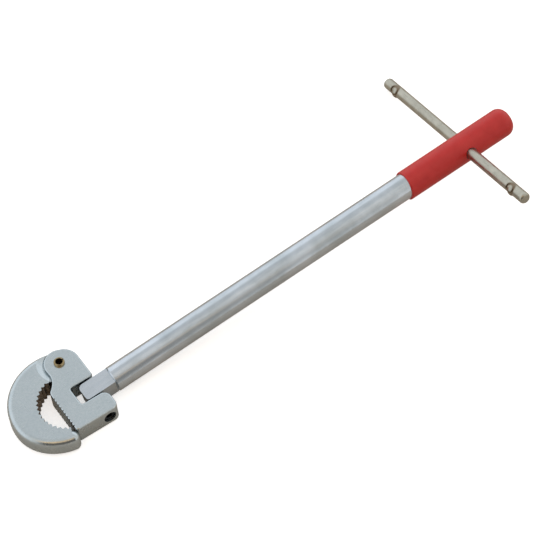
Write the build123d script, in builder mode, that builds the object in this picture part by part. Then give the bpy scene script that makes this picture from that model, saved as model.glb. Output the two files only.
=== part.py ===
"""Basin wrench: a T-handled bar with a swivelling head and a toothed hook jaw.

Frame: the origin is the middle of the closed jaw's mouth, at half the head's thickness.
+X runs from the hook to the handle, +Z is square to the head's flat faces. The handle
rises a little from the head, so that the head and one end of the tommy bar lie on a table.
"""
from build123d import *
import os
from math import cos, radians, sin

os.makedirs("parts", exist_ok=True)

# Head
HEAD_T = 10.7            # thickness of both jaws
HEEL_X = 4.5             # serrated face of the fixed jaw
SIDE_Y = -16.0           # flat side that the swivel screw goes in through
CORNER_R = 1.5           # corner between the heel and that side
LOWER_ARM_X = 27.4       # ends of the fork's two arms
UPPER_ARM_X = 26.3
FORK_ROOT_X = 13.7
FORK_HALF = 5.3          # half the width of the slot for the tang
EDGE_R = 0.8             # rounding of the fixed jaw's outline

# Hook hinge
PIN_X = 17.0
PIN_Y = 20.1
PIN_R = 2.6
PIN_WALL = 0.8
PIN_PROUD = 1.1          # how far the pin stands out of the upper cheek
LOBE_R = 7.5             # cheeks, round the pin
TONGUE_R = 6.9
TONGUE_T = 5.6
CHEEK_GAP = 6.2          # slot between the cheeks
SLOT_FLOOR_Y = 12.6
SLOT_BACK_X = 24.5
SHOULDER_R = 8.0         # hook's full thickness starts this far from the pin
RAMP = 2.8               # width of the gentle slope up to it, outside the shoulder's wall
RAMP_DROP = 1.2          # height of that slope

# Hook teeth and heel serrations
TEETH_X = 9.6            # centre of the toothed arc
TEETH_Y = -0.15
TEETH_TIP_R = 14.2
TOOTH_DEPTH = 1.0
TOOTH_STEP = 9.4         # degrees
TOOTH_COUNT = 15
FIRST_TOOTH = 106.5      # degrees from +X
HOOK_X = -18.3           # outermost point of the hook
BACK_R = 27.0            # hook's back, from the hinge round to its outermost point
BELOW_R = 21.0           # and on towards the tip
HOOK_EDGE_R = 2.9        # rounding of the hook's outer edge
HEEL_TEETH = 10
HEEL_STEP = 1.95
HEEL_DEPTH = 0.75
HEEL_LAST_Y = -13.0

# Handle
SWIVEL_X = 22.0          # swivel screw's axis, along Y
RISE = 5.087             # degrees between the handle and the head's plane
SHAFT_R = 6.35
TANG = 8.95              # square tang in the fork
TANG_NEAR_R = 1.5        # its end's corners, on the -Y side and the +Y side
TANG_FAR_R = 2.5
TANG_END = 4.4           # from the swivel axis to the tang's end
SHOULDER = 11.2          # from the swivel axis to the full round
SHAFT_LENGTH = 237.0
GRIP_START = 178.8       # middle of the grip's mouth
GRIP_SLANT = 10.0        # degrees that the dip line leans away from the head at the top
GRIP_END = 240.4
GRIP_R = 7.2
GRIP_END_R = 5.0         # rounding of the grip's closed end

# Swivel screw
SCREW_R = 3.175
SCREW_HEAD_Y = -14.8
SCREW_TIP_Y = 11.2
SOCKET_ACROSS = 3.2
SOCKET_DEPTH = 3.6
RUNNING = 0.05           # radial clearance of each running fit
STATIC = 0.02            # radial clearance of each fixed fit

# Tommy bar
BAR_AT = 213.9           # along the handle, from the swivel axis
BAR_ROLL = 17.67         # degrees that the bar is turned from the head's plane
BAR_R = 2.79
BAR_LENGTH = 124.2
BAR_OFFSET = -8.5        # how far the bar is slid through, towards +Y
BAR_END_R = 1.2
PUNCH_IN = 10.0          # from the bar's end to the punch mark
PUNCH_TURN = 133.0       # degrees round the bar from the handle's direction to the marks
PUNCH_R = 2.4            # middle of the ring-shaped groove
PUNCH_GROOVE = 0.5       # half the width of that groove
PUNCH_DEPTH = 0.35       # how far the ring's plane lies under the bar's surface
BULGE_TURN = 202.0       # and to the metal pushed out beside them
BULGE_R = 2.9
BULGE_OUT = 0.6          # how far it stands out of the bar

# Torsion spring round the jaw pin
WIRE_R = 0.4
COIL_R = 3.5
COIL_TURNS = 2.5
COIL_PITCH = 0.84
COIL_LOW = -2.3          # height of the coil's lower end
BODY_LEG = 7.35          # leg that bears on the fixed jaw
TONGUE_LEG = 5.4         # leg that turns with the hook
POCKET_R = 4.4           # pocket for the coil, in the tongue
POCKET_TOP = 0.6         # height of the pocket's ceiling

HALF_T = HEAD_T / 2
PIN = Vector(PIN_X, PIN_Y, 0)
SWIVEL = Vector(SWIVEL_X, 0, 0)

# Handle plane: normal along the bar, x along +Y, y across the bar and away from the table
rise = radians(RISE)
roll = radians(BAR_ROLL)
handle = Plane(origin=SWIVEL, x_dir=(0, 1, 0), z_dir=(cos(rise), 0, sin(rise)))
bar_axis = handle.x_dir * -cos(roll) + handle.y_dir * sin(roll)
bar_centre = handle.origin + handle.z_dir * BAR_AT
# Bar plane: normal along the tommy bar, x along the handle
cross = Plane(origin=bar_centre, x_dir=handle.z_dir, z_dir=bar_axis)


# ---------------------------------------------------------------- fixed jaw
with BuildPart() as jaw_body:
    with BuildSketch(Plane.XY.offset(-HALF_T)):
        with BuildLine():
            side = Line((HEEL_X + CORNER_R, SIDE_Y), (LOWER_ARM_X - 3.2, SIDE_Y))
            lower = TangentArc(side @ 1, (LOWER_ARM_X, SIDE_Y + 3.2), tangent=side % 1)
            end = Line(lower @ 1, (LOWER_ARM_X, -FORK_HALF - 3.9))
            inner = TangentArc(end @ 1, (LOWER_ARM_X - 3.9, -FORK_HALF), tangent=end % 1)
            bottom = Line(inner @ 1, (FORK_ROOT_X + 1.3, -FORK_HALF))
            root_a = TangentArc(bottom @ 1, (FORK_ROOT_X, 1.3 - FORK_HALF), tangent=(-1, 0))
            root = Line(root_a @ 1, (FORK_ROOT_X, FORK_HALF - 1.3))
            root_b = TangentArc(root @ 1, (FORK_ROOT_X + 1.3, FORK_HALF), tangent=root % 1)
            top = Line(root_b @ 1, (UPPER_ARM_X - 1.1, FORK_HALF))
            nick = Line(top @ 1, (UPPER_ARM_X, FORK_HALF + 1.1))
            back = Line(nick @ 1, (UPPER_ARM_X, 19.0))
            lobe = CenterArc((PIN_X, PIN_Y), LOBE_R, 62, 118)
            ThreePointArc(back @ 1, (24.4, 24.1), lobe @ 0)
            neck = Spline(lobe @ 1, (9.7, 17.2), (8.5, 13.0), (5.9, 9.8), (HEEL_X, 5.6),
                          tangents=[(0, -1), (0, -1)])
            heel = Line(neck @ 1, (HEEL_X, SIDE_Y + CORNER_R))
            TangentArc(heel @ 1, side @ 0, tangent=heel % 1)
        make_face()
    extrude(amount=HEAD_T)
    fillet(jaw_body.edges().group_by(Axis.Z)[0] + jaw_body.edges().group_by(Axis.Z)[-1], EDGE_R)
    # Heel serrations, square to the pull
    with BuildSketch(Plane.XY.offset(-HALF_T)):
        for i in range(HEEL_TEETH):
            with Locations((HEEL_X, HEEL_LAST_Y + i * HEEL_STEP)):
                Polygon((-0.5, -1.1), (HEEL_DEPTH, 0), (-0.5, 1.1), align=None)
    extrude(amount=HEAD_T, mode=Mode.SUBTRACT)
    # Slot for the hook's tongue, open at the back and towards the hook
    with BuildSketch(Plane.XY.offset(-CHEEK_GAP / 2)):
        with BuildLine():
            Polyline((-2, SLOT_FLOOR_Y), (SLOT_BACK_X, SLOT_FLOOR_Y), (SLOT_BACK_X, 30), (-2, 30),
                     close=True)
        make_face()
    extrude(amount=CHEEK_GAP, mode=Mode.SUBTRACT)
    # Bore for the jaw pin
    with BuildSketch(Plane.XY.offset(-HALF_T)):
        with Locations((PIN_X, PIN_Y)):
            Circle(PIN_R + STATIC)
    extrude(amount=HEAD_T, mode=Mode.SUBTRACT)
    # Bore for the swivel screw, blind in the far arm
    with BuildSketch(Plane.XZ.offset(-SCREW_TIP_Y - 0.6)):
        with Locations((SWIVEL_X, 0)):
            Circle(SCREW_R + STATIC)
    extrude(amount=SCREW_TIP_Y + 0.6 - SIDE_Y, mode=Mode.SUBTRACT)
jaw_body.part.label = "jaw_body"
export_step(jaw_body.part, "parts/jaw_body.step")


# ---------------------------------------------------------------- hook
with BuildPart() as hook_jaw:
    with BuildSketch(Plane.XY.offset(-HALF_T)):
        with BuildLine():
            back = CenterArc((HOOK_X + BACK_R, 2.0), BACK_R, 76, 104)
            below = CenterArc((HOOK_X + BELOW_R, 2.0), BELOW_R, 180, 45)
            belly = TangentArc(below @ 1, (1.3, -19.8), tangent=below % 1)
            nose = TangentArc(belly @ 1, (4.7, -17.1), tangent=belly % 1)
            tip = TangentArc(nose @ 1, (2.9, -13.5), tangent=nose % 1)
            inside = CenterArc((TEETH_X, TEETH_Y), TEETH_TIP_R, 243, -141)
            Line(tip @ 1, inside @ 0)
            throat = Spline(inside @ 1, (7.5, 13.7), (8.75, 15.8), (9.3, 18.0))
            Polyline(throat @ 1, (15.2, 18.0), back @ 0)
        make_face()
    extrude(amount=HEAD_T)
    outer = [e for e in hook_jaw.edges() if abs(e.center().Z) > HALF_T - 0.01
             and (e.center() - Vector(TEETH_X, TEETH_Y)).length > 16 and e.center().Y < 27
             and e.center().X < 5]
    fillet(outer, HOOK_EDGE_R)
    # Shoulder round the pin: a gentle slope, then a wall down to the tongue
    with BuildSketch(Plane(origin=PIN, x_dir=(-1, 0, 0), z_dir=(0, 1, 0))):
        with BuildLine():
            wall = HALF_T - RAMP_DROP
            outside = HALF_T + RAMP_DROP
            Polyline((0, -outside), (SHOULDER_R + 2 * RAMP, -outside), (SHOULDER_R, -wall),
                     (SHOULDER_R, wall), (SHOULDER_R + 2 * RAMP, outside), (0, outside), close=True)
        make_face()
    revolve(axis=Axis(PIN, (0, 0, 1)), mode=Mode.SUBTRACT)
    # Tongue
    with BuildSketch(Plane.XY.offset(-TONGUE_T / 2)):
        with Locations((PIN_X, PIN_Y)):
            Circle(TONGUE_R)
        with BuildLine():
            Polyline((PIN_X, PIN_Y + TONGUE_R), (8.0, 27.0), (3.0, 24.0), (7.4, 15.2), (8.9, 15.0),
                     (PIN_X, PIN_Y - TONGUE_R), close=True)
        make_face()
    extrude(amount=TONGUE_T)
    # Teeth
    with BuildSketch(Plane.XY.offset(-HALF_T)):
        for i in range(TOOTH_COUNT):
            turn = FIRST_TOOTH + i * TOOTH_STEP
            at = Vector(TEETH_X, TEETH_Y) + Vector(TEETH_TIP_R, 0).rotate(Axis.Z, turn)
            with Locations(Location((at.X, at.Y, 0), (0, 0, turn))):
                Polygon((-0.6, -1.5), (TOOTH_DEPTH, 0), (-0.6, 1.5), align=None)
    extrude(amount=HEAD_T, mode=Mode.SUBTRACT)
    # Bore for the pin
    with BuildSketch(Plane.XY.offset(-HALF_T)):
        with Locations((PIN_X, PIN_Y)):
            Circle(PIN_R + RUNNING)
    extrude(amount=HEAD_T, mode=Mode.SUBTRACT)
    # Spring pocket in the tongue's underside, with a groove for one leg and room for the other
    with BuildSketch(Plane.XY.offset(-HALF_T)):
        with Locations((PIN_X, PIN_Y)):
            Circle(POCKET_R)
            with Locations((TONGUE_R, 0)):
                Rectangle(2 * (TONGUE_R - 2), 3 * TONGUE_R)
            with Locations((-COIL_R, -TONGUE_R / 2 - 0.5)):
                Rectangle(4 * WIRE_R, TONGUE_R + 1)
    extrude(amount=HALF_T + POCKET_TOP, mode=Mode.SUBTRACT)
hook_jaw.part.label = "hook_jaw"
export_step(hook_jaw.part, "parts/hook_jaw.step")


# ---------------------------------------------------------------- jaw pin: a slit, rolled tube
with BuildPart() as jaw_pin:
    with BuildSketch(Plane.XY.offset(-HALF_T + 0.3)):
        with Locations((PIN_X, PIN_Y)):
            Circle(PIN_R)
            Circle(PIN_R - PIN_WALL, mode=Mode.SUBTRACT)
    extrude(amount=HEAD_T - 0.3 + PIN_PROUD)
    chamfer(jaw_pin.edges().group_by(Axis.Z)[-1].sort_by(SortBy.RADIUS)[-1], 0.35)
    with BuildSketch(Plane.XY.offset(-HALF_T)):
        with Locations((PIN_X + PIN_R, PIN_Y)):
            Rectangle(2 * PIN_R - 0.4, 0.5)
    extrude(amount=HEAD_T + 2 * PIN_PROUD, mode=Mode.SUBTRACT)
jaw_pin.part.label = "jaw_pin"
export_step(jaw_pin.part, "parts/jaw_pin.step")


# ---------------------------------------------------------------- torsion spring round the pin
with BuildPart() as jaw_spring:
    # One leg bears on the slot's floor, the other lies in the tongue's groove
    with BuildLine():
        coil = Helix(COIL_PITCH, COIL_PITCH * COIL_TURNS, COIL_R, center=(PIN_X, PIN_Y, COIL_LOW))
        body_leg = Line(coil @ 0 - (coil % 0) * BODY_LEG, coil @ 0)
        tongue_leg = Line(coil @ 1, coil @ 1 + (coil % 1) * TONGUE_LEG)
    with BuildSketch(Plane(origin=body_leg @ 0, z_dir=body_leg % 0)):
        Circle(WIRE_R)
    sweep(path=Wire([body_leg, coil, tongue_leg]), is_frenet=True)
jaw_spring.part.label = "jaw_spring"
export_step(jaw_spring.part, "parts/jaw_spring.step")


# ---------------------------------------------------------------- swivel screw
with BuildPart() as swivel_screw:
    with BuildSketch(Plane.XZ.offset(-SCREW_TIP_Y)):
        with Locations((SWIVEL_X, 0)):
            Circle(SCREW_R)
    extrude(amount=SCREW_TIP_Y - SCREW_HEAD_Y)
    chamfer(swivel_screw.edges().filter_by(GeomType.CIRCLE), 0.4)
    with BuildSketch(Plane.XZ.offset(-SCREW_HEAD_Y)):
        with Locations((SWIVEL_X, 0)):
            RegularPolygon(SOCKET_ACROSS / 2, 6, major_radius=False)
    extrude(amount=-SOCKET_DEPTH, mode=Mode.SUBTRACT)
swivel_screw.part.label = "swivel_screw"
export_step(swivel_screw.part, "parts/swivel_screw.step")


# ---------------------------------------------------------------- handle bar
with BuildPart() as shaft:
    with BuildSketch(handle.offset(SHOULDER)):
        Circle(SHAFT_R)
    extrude(amount=SHAFT_LENGTH - SHOULDER)
    chamfer(shaft.edges().filter_by(GeomType.CIRCLE), 0.5)
    # Square tang, milled from the round, with two corners of its end rounded
    with BuildSketch(handle.offset(-TANG_END)):
        Rectangle(TANG, TANG)
    extrude(amount=TANG_END + SHOULDER)
    for side, radius in ((0, TANG_NEAR_R), (-1, TANG_FAR_R)):
        ends = shaft.edges().filter_by(Axis(SWIVEL, handle.y_dir)).group_by(Axis.X)[0]
        fillet(ends.sort_by(Axis.Y)[side], radius)
    with BuildSketch(Plane.XZ):
        with Locations((SWIVEL_X, 0)):
            Circle(SCREW_R + RUNNING)
    extrude(amount=TANG, both=True, mode=Mode.SUBTRACT)
    with BuildSketch(cross):
        Circle(BAR_R + RUNNING)
    extrude(amount=2 * SHAFT_R, both=True, mode=Mode.SUBTRACT)
shaft.part.label = "shaft"
export_step(shaft.part, "parts/shaft.step")


# ---------------------------------------------------------------- dipped grip
with BuildPart() as grip:
    with BuildSketch(handle.offset(GRIP_END)):
        Circle(GRIP_R)
    extrude(amount=GRIP_START - GRIP_END - GRIP_R)
    fillet(grip.edges().filter_by(GeomType.CIRCLE).sort_by(Axis.X)[-1], GRIP_END_R)
    # Slanted dip line, with a rounded lip
    lean = handle.z_dir * cos(radians(GRIP_SLANT)) - handle.y_dir * sin(radians(GRIP_SLANT))
    mouth = Plane(origin=SWIVEL + handle.z_dir * GRIP_START, x_dir=handle.x_dir, z_dir=lean)
    split(bisect_by=mouth, keep=Keep.TOP)
    fillet(grip.edges().filter_by(GeomType.ELLIPSE), 0.4)
    with BuildSketch(handle.offset(GRIP_START - GRIP_R)):
        Circle(SHAFT_R + STATIC)
    extrude(amount=SHAFT_LENGTH + STATIC - GRIP_START + GRIP_R, mode=Mode.SUBTRACT)
    with BuildSketch(cross):
        Circle(BAR_R + 0.25)
    extrude(amount=2 * GRIP_R, both=True, mode=Mode.SUBTRACT)
grip.part.label = "grip"
export_step(grip.part, "parts/grip.step")


# ---------------------------------------------------------------- tommy bar
with BuildPart() as tommy_bar:
    with BuildSketch(cross.offset(BAR_OFFSET - BAR_LENGTH / 2)):
        Circle(BAR_R)
    extrude(amount=BAR_LENGTH)
    fillet(tommy_bar.edges().filter_by(GeomType.CIRCLE), BAR_END_R)
    # Ring-shaped punch marks near the ends, whose bulges keep the bar from dropping out
    for end in (-1, 1):
        at = cross.offset(BAR_OFFSET + end * (BAR_LENGTH / 2 - PUNCH_IN))
        bulge = radians(BULGE_TURN)
        reach = BAR_R + BULGE_OUT - BULGE_R
        with Locations(at.origin + (at.x_dir * cos(bulge) + at.y_dir * sin(bulge)) * reach):
            Sphere(BULGE_R)
        punch = at.x_dir * cos(radians(PUNCH_TURN)) + at.y_dir * sin(radians(PUNCH_TURN))
        ring = Plane(origin=at.origin + punch * (BAR_R - PUNCH_DEPTH), x_dir=bar_axis, z_dir=punch)
        with Locations(ring.location):
            Torus(PUNCH_R, PUNCH_GROOVE, mode=Mode.SUBTRACT)
tommy_bar.part.label = "tommy_bar"
export_step(tommy_bar.part, "parts/tommy_bar.step")
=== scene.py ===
"""Looks of the basin wrench: plated head and bar, red dipped grip and plain steel tommy bar."""
from math import cos, radians, sin

import bpy
from mathutils import Matrix, Vector


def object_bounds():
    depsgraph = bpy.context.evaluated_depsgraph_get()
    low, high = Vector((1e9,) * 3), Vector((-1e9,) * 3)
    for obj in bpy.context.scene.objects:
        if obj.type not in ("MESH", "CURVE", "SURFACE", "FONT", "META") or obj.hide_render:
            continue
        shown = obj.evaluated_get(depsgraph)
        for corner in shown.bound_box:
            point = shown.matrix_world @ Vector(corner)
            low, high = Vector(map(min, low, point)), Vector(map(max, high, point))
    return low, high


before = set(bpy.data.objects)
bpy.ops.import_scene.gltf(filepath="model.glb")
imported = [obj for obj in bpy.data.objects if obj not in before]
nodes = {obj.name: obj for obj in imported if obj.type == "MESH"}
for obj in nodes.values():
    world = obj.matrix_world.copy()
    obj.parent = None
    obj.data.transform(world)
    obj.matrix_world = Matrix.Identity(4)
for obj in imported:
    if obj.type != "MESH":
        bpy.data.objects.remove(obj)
cad_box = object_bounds()

# Camera, in metres in the row frame
CAMERA_AT = Vector((-0.22402, -0.65861, 1.11787))
CAMERA_RIGHT = Vector((0.82943, -0.55402, -0.07149))
CAMERA_UP = Vector((0.49450, 0.66866, 0.55531))
CAMERA_LENS = 191.53
SENSOR = 36.0

# Places on the object and distances from them, in metres in the row frame
TEETH_CENTRE = (0.0096, -0.00015, 0.0)
TEETH_SPAN = (0.0128, 0.0156)        # distances of the toothed arc's walls from it
PUNCH_MARKS = ((0.2349, 0.0583, 0.0022), (0.2321, -0.041, 0.0337))
PUNCH_RING = (0.0015, 0.0032)

# Light of the studio's walls, and cards as azimuth, elevation, half width, half height, softness
FAR_WALL = (1.0, 1.02, 1.05)
CEILING = (0.69, 0.69, 0.69)
NEAR_WALL = (0.82, 0.80, 0.77)
DARK_CARD = (240, 14, 36, 56, 0.15)
DARK = (0.12, 0.11, 0.10)
GOLD_CARD = (230, 54, 26, 11, 0.3)
GOLD = (1.25, 0.86, 0.50)
FLOOR_GLOW = 0.6
FLOOR_CARD = (0.62, 0.57, 0.51, 1.0)


# ---------------------------------------------------------------- node helpers
class Nodes:
    """Short calls for building a node tree."""

    def __init__(self, tree):
        self.tree = tree

    def add(self, kind, **values):
        node = self.tree.nodes.new(kind)
        for name, value in values.items():
            setattr(node, name, value)
        return node

    def join(self, source, target):
        self.tree.links.new(source, target)

    def feed(self, value, socket):
        """Gives a socket its value: another socket, a colour or a number."""
        if isinstance(value, bpy.types.NodeSocket):
            self.join(value, socket)
        else:
            socket.default_value = (*value, 1.0) if isinstance(value, tuple) else value

    def maths(self, operation, first, second=0.0):
        """One arithmetic step; each value is a socket or a number."""
        node = self.add("ShaderNodeMath", operation=operation)
        self.feed(first, node.inputs[0])
        self.feed(second, node.inputs[1])
        return node.outputs["Value"]

    def mix(self, factor, first, second, blend="MIX"):
        """Blends two colours; each is a socket or a colour."""
        node = self.add("ShaderNodeMix", data_type="RGBA", blend_type=blend)
        self.feed(factor, node.inputs[0])
        self.feed(first, node.inputs[6])
        self.feed(second, node.inputs[7])
        return node.outputs[2]


class Material(Nodes):
    """A node material round one Principled shader."""

    def __init__(self, name):
        self.material = bpy.data.materials.new(name)
        self.material.use_nodes = True
        super().__init__(self.material.node_tree)
        self.shader = self.tree.nodes["Principled BSDF"]
        self.place = self.add("ShaderNodeTexCoord").outputs["Object"]

    def set(self, **values):
        for name, value in values.items():
            self.shader.inputs[name.replace("_", " ").capitalize()].default_value = value

    def stretched(self, scale, turn=(0, 0, 0)):
        """The object's coordinates, scaled along each axis after a turn."""
        mapping = self.add("ShaderNodeMapping")
        mapping.inputs["Scale"].default_value = scale
        mapping.inputs["Rotation"].default_value = turn
        self.join(self.place, mapping.inputs["Vector"])
        return mapping.outputs["Vector"]

    def noise(self, scale, detail=3.0, roughness=0.5, vector=None):
        node = self.add("ShaderNodeTexNoise")
        node.inputs["Scale"].default_value = scale
        node.inputs["Detail"].default_value = detail
        node.inputs["Roughness"].default_value = roughness
        self.join(vector or self.place, node.inputs["Vector"])
        return node.outputs["Fac"]

    def ramp(self, source, *stops):
        """Maps a value through (place, colour) stops."""
        node = self.add("ShaderNodeValToRGB")
        points = node.color_ramp.elements
        while len(points) < len(stops):
            points.new(0.5)
        for point, (place, colour) in zip(points, stops):
            point.position = place
            point.color = (*colour, 1.0) if isinstance(colour, tuple) else (colour, colour, colour, 1.0)
        self.join(source, node.inputs["Fac"])
        return node.outputs["Color"]

    def bump(self, height, strength, distance, normal=None):
        node = self.add("ShaderNodeBump")
        node.inputs["Strength"].default_value = strength
        node.inputs["Distance"].default_value = distance
        self.join(height, node.inputs["Height"])
        if normal:
            self.join(normal, node.inputs["Normal"])
        return node.outputs["Normal"]

    def away(self, centre, scale=(1, 1, 1)):
        """Distance from a point in the row frame, in metres."""
        node = self.add("ShaderNodeMapping")
        node.inputs["Scale"].default_value = scale
        node.inputs["Location"].default_value = [-c * s for c, s in zip(centre, scale)]
        self.join(self.place, node.inputs["Vector"])
        length = self.add("ShaderNodeVectorMath", operation="LENGTH")
        self.join(node.outputs["Vector"], length.inputs[0])
        return length.outputs["Value"]

    def between(self, source, low, high, soft):
        """1 where the value lies between low and high, 0 elsewhere."""
        steps = []
        for start, stop in ((low - soft, low + soft), (high + soft, high - soft)):
            node = self.add("ShaderNodeMapRange")
            node.inputs["From Min"].default_value = start
            node.inputs["From Max"].default_value = stop
            self.join(source, node.inputs["Value"])
            steps.append(node.outputs["Result"])
        return self.maths("MULTIPLY", *steps)

    def walls(self):
        """1 on faces square to the head's flat sides, 0 on the flat sides."""
        normal = self.add("ShaderNodeSeparateXYZ")
        self.join(self.add("ShaderNodeTexCoord").outputs["Normal"], normal.inputs[0])
        return self.between(normal.outputs["Z"], -0.5, 0.5, 0.2)

    def finish(self, colour, roughness, normal):
        self.join(colour, self.shader.inputs["Base Color"])
        self.join(roughness, self.shader.inputs["Roughness"])
        self.join(normal, self.shader.inputs["Normal"])
        return self.material


def plated_forging(name, tint, worn, teeth):
    """Satin zinc over a tumbled forging: soft dimples, cloudy patches, and grime in the teeth.

    teeth is the span of distances from the toothed arc's centre, or None.
    """
    m = Material(name)
    m.set(Metallic=1.0)
    clouds = m.noise(90, 4.0, 0.6)
    specks = m.noise(900, 2.0, 0.5)
    colour = m.ramp(clouds, (0.3, tint), (0.7, worn))
    colour = m.mix(0.12, colour, m.ramp(specks, (0.35, 0.3), (0.65, 0.7)), "OVERLAY")
    if teeth:
        near = m.between(m.away(TEETH_CENTRE, (1, 1, 0)), *teeth, 0.0004)
        stain = m.ramp(m.noise(350, 4.0, 0.7), (0.35, (0.20, 0.145, 0.105)), (0.65, (0.50, 0.47, 0.43)))
        colour = m.mix(m.maths("MULTIPLY", near, m.walls()), colour, stain)
    roughness = m.ramp(clouds, (0.3, 0.32), (0.7, 0.22))
    normal = m.bump(m.noise(260, 3.0, 0.5), 0.2, 0.0002)
    normal = m.bump(specks, 0.1, 0.00004, normal)
    return m.finish(colour, roughness, normal)


def plated_bar(name):
    """Bright zinc over drawn bar: faint draw lines along it, and cloudy patches."""
    m = Material(name)
    m.set(Metallic=1.0)
    lines = m.noise(1.0, 3.0, 0.6, m.stretched((25, 900, 900)))
    clouds = m.noise(60, 3.0, 0.6)
    colour = m.ramp(clouds, (0.35, (0.51, 0.57, 0.61)), (0.65, (0.63, 0.69, 0.75)))
    colour = m.mix(0.15, colour, m.ramp(lines, (0.3, 0.3), (0.7, 0.75)), "OVERLAY")
    roughness = m.ramp(clouds, (0.3, 0.27), (0.7, 0.18))
    return m.finish(colour, roughness, m.bump(lines, 0.1, 0.00005))


def plain_bar(name):
    """Uncoated steel rod with lengthwise scuffs, and rust in its punch marks."""
    m = Material(name)
    m.set(Metallic=1.0)
    lines = m.noise(1.0, 3.0, 0.6, m.stretched((900, 30, 900), (0.31, 0.0, 0.0)))
    clouds = m.noise(150, 3.0, 0.6)
    colour = m.ramp(clouds, (0.3, (0.41, 0.40, 0.34)), (0.7, (0.50, 0.49, 0.42)))
    colour = m.mix(0.25, colour, m.ramp(lines, (0.3, 0.3), (0.7, 0.7)), "OVERLAY")
    for mark in PUNCH_MARKS:
        ring = m.between(m.away(mark), *PUNCH_RING, 0.0003)
        colour = m.mix(m.maths("MULTIPLY", ring, 0.75), colour, (0.16, 0.10, 0.05))
    roughness = m.ramp(lines, (0.3, 0.24), (0.7, 0.36))
    return m.finish(colour, roughness, m.bump(lines, 0.2, 0.00008))


def red_vinyl(name):
    """Dipped vinyl: glossy red skin with faint ripples and a dusting of fine pores."""
    m = Material(name)
    ripples = m.noise(220, 2.0, 0.4)
    pores = m.noise(2200, 2.0, 0.5)
    colour = m.ramp(ripples, (0.3, (0.56, 0.019, 0.017)), (0.7, (0.62, 0.027, 0.024)))
    roughness = m.ramp(pores, (0.3, 0.30), (0.7, 0.40))
    normal = m.bump(ripples, 0.2, 0.0002)
    normal = m.bump(pores, 0.12, 0.00004, normal)
    m.set(Metallic=0.0)
    return m.finish(colour, roughness, normal)


def small_metal(name, dark, light, roughness):
    """Small turned or rolled steel parts."""
    m = Material(name)
    m.set(Metallic=1.0)
    clouds = m.noise(700, 3.0, 0.6)
    colour = m.ramp(clouds, (0.35, dark), (0.65, light))
    rough = m.ramp(clouds, (0.35, roughness + 0.08), (0.65, roughness))
    return m.finish(colour, rough, m.bump(clouds, 0.2, 0.0001))


# ---------------------------------------------------------------- materials on the CAD nodes
ZINC = ((0.51, 0.58, 0.61), (0.57, 0.64, 0.67))
finishes = {
    "jaw_body": plated_forging("plated_forging", *ZINC, None),
    "hook_jaw": plated_forging("hook_forging", *ZINC, TEETH_SPAN),
    "shaft": plated_bar("plated_bar"),
    "tommy_bar": plain_bar("plain_bar"),
    "grip": red_vinyl("red_vinyl"),
    "jaw_pin": small_metal("yellow_pin", (0.22, 0.16, 0.08), (0.52, 0.42, 0.24), 0.28),
    "jaw_spring": small_metal("spring_wire", (0.16, 0.15, 0.14), (0.26, 0.25, 0.24), 0.35),
    "swivel_screw": small_metal("black_screw", (0.012, 0.012, 0.013), (0.03, 0.03, 0.032), 0.4),
}
for node, material in finishes.items():
    nodes[node].data.materials.clear()
    nodes[node].data.materials.append(material)


# ---------------------------------------------------------------- floor
low = Vector(cad_box[0])
bpy.ops.mesh.primitive_plane_add(size=6.0, location=(0.1, 0, low.z))
floor = bpy.context.object
floor.name = "floor"
pale = Material("pale_floor")
grain = pale.noise(40, 3.0, 0.5)
pale.finish(pale.ramp(grain, (0.0, (0.89, 0.89, 0.89)), (1.0, (0.91, 0.91, 0.91))),
            pale.ramp(grain, (0.0, 0.6), (1.0, 0.7)), pale.bump(grain, 0.02, 0.0002))
pale.shader.inputs["Specular IOR Level"].default_value = 0.0
glow = pale.add("ShaderNodeEmission")
glow.inputs["Strength"].default_value = FLOOR_GLOW
lit = pale.add("ShaderNodeAddShader")
pale.join(pale.shader.outputs[0], lit.inputs[0])
pale.join(glow.outputs[0], lit.inputs[1])
# Only the camera sees the bright floor; the object sees a warm grey card
card = pale.add("ShaderNodeBsdfDiffuse")
card.inputs["Color"].default_value = FLOOR_CARD
choice = pale.add("ShaderNodeMixShader")
pale.join(pale.add("ShaderNodeLightPath").outputs["Is Camera Ray"], choice.inputs["Fac"])
pale.join(card.outputs[0], choice.inputs[1])
pale.join(lit.outputs[0], choice.inputs[2])
pale.join(choice.outputs[0], pale.tree.nodes["Material Output"].inputs["Surface"])
floor.data.materials.append(pale.material)


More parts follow.
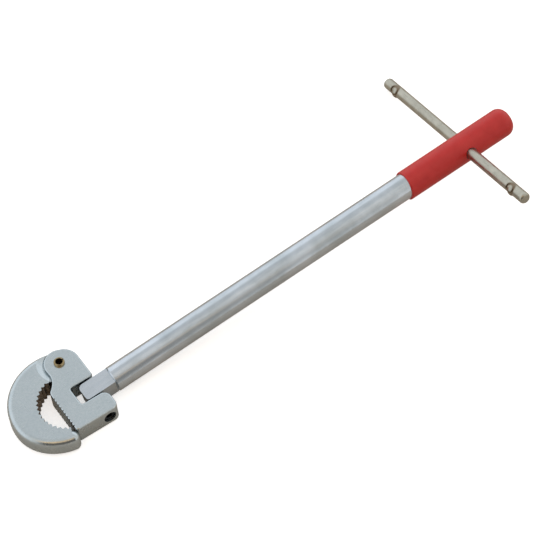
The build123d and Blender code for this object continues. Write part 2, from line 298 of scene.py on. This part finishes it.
# ---------------------------------------------------------------- studio light
class Sky(Nodes):
    """The studio round the object: a bright far wall, a dimmer near one, and two cards."""

    def __init__(self, name):
        self.world = bpy.data.worlds.new(name)
        self.world.use_nodes = True
        super().__init__(self.world.node_tree)
        self.direction = self.add("ShaderNodeTexCoord").outputs["Generated"]

    def along(self, axis):
        """How far the direction points along an axis, from -1 to 1."""
        node = self.add("ShaderNodeVectorMath", operation="DOT_PRODUCT")
        self.join(self.direction, node.inputs[0])
        node.inputs[1].default_value = axis
        return node.outputs["Value"]

    def step(self, source, start, stop):
        """Rises smoothly from 0 at start to 1 at stop."""
        node = self.add("ShaderNodeMapRange", interpolation_type="SMOOTHSTEP")
        node.inputs["From Min"].default_value = start
        node.inputs["From Max"].default_value = stop
        self.join(source, node.inputs["Value"])
        return node.outputs["Result"]

    def oval(self, azimuth, elevation, width, height, soft):
        """1 inside an oval card seen in this direction; angles in degrees."""
        turn, rise = radians(azimuth), radians(elevation)
        middle = Vector((cos(rise) * cos(turn), cos(rise) * sin(turn), sin(rise)))
        side = Vector((-sin(turn), cos(turn), 0))
        across = self.maths("DIVIDE", self.along(side), sin(radians(width)))
        upward = self.maths("DIVIDE", self.along(middle.cross(side)), sin(radians(height)))
        span = self.maths("ADD", self.maths("MULTIPLY", across, across),
                          self.maths("MULTIPLY", upward, upward))
        inside = self.step(span, 1 + soft, 1 - soft)
        return self.maths("MULTIPLY", inside, self.step(self.along(middle), 0.0, 0.1))


sky = Sky("studio")
bpy.context.scene.world = sky.world
far = sky.mix(sky.step(sky.along((0, 0, 1)), 0.70, 0.86), FAR_WALL, CEILING)
colour = sky.mix(sky.step(sky.along((0, 1, 0)), -0.25, 0.30), NEAR_WALL, far)
colour = sky.mix(sky.oval(*DARK_CARD), colour, DARK)
colour = sky.mix(sky.oval(*GOLD_CARD), colour, GOLD)
background = sky.tree.nodes["Background"]
sky.join(colour, background.inputs["Color"])
background.inputs["Strength"].default_value = 1.0


# ---------------------------------------------------------------- camera
lens = bpy.data.cameras.new("camera")
lens.lens = CAMERA_LENS
lens.sensor_width = SENSOR
camera = bpy.data.objects.new("camera", lens)
turn = Matrix((CAMERA_RIGHT, CAMERA_UP, CAMERA_RIGHT.cross(CAMERA_UP))).transposed()
camera.matrix_world = Matrix.Translation(CAMERA_AT) @ turn.to_4x4()
bpy.context.scene.collection.objects.link(camera)
bpy.context.scene.camera = camera
bpy.context.scene.view_settings.view_transform = "Standard"
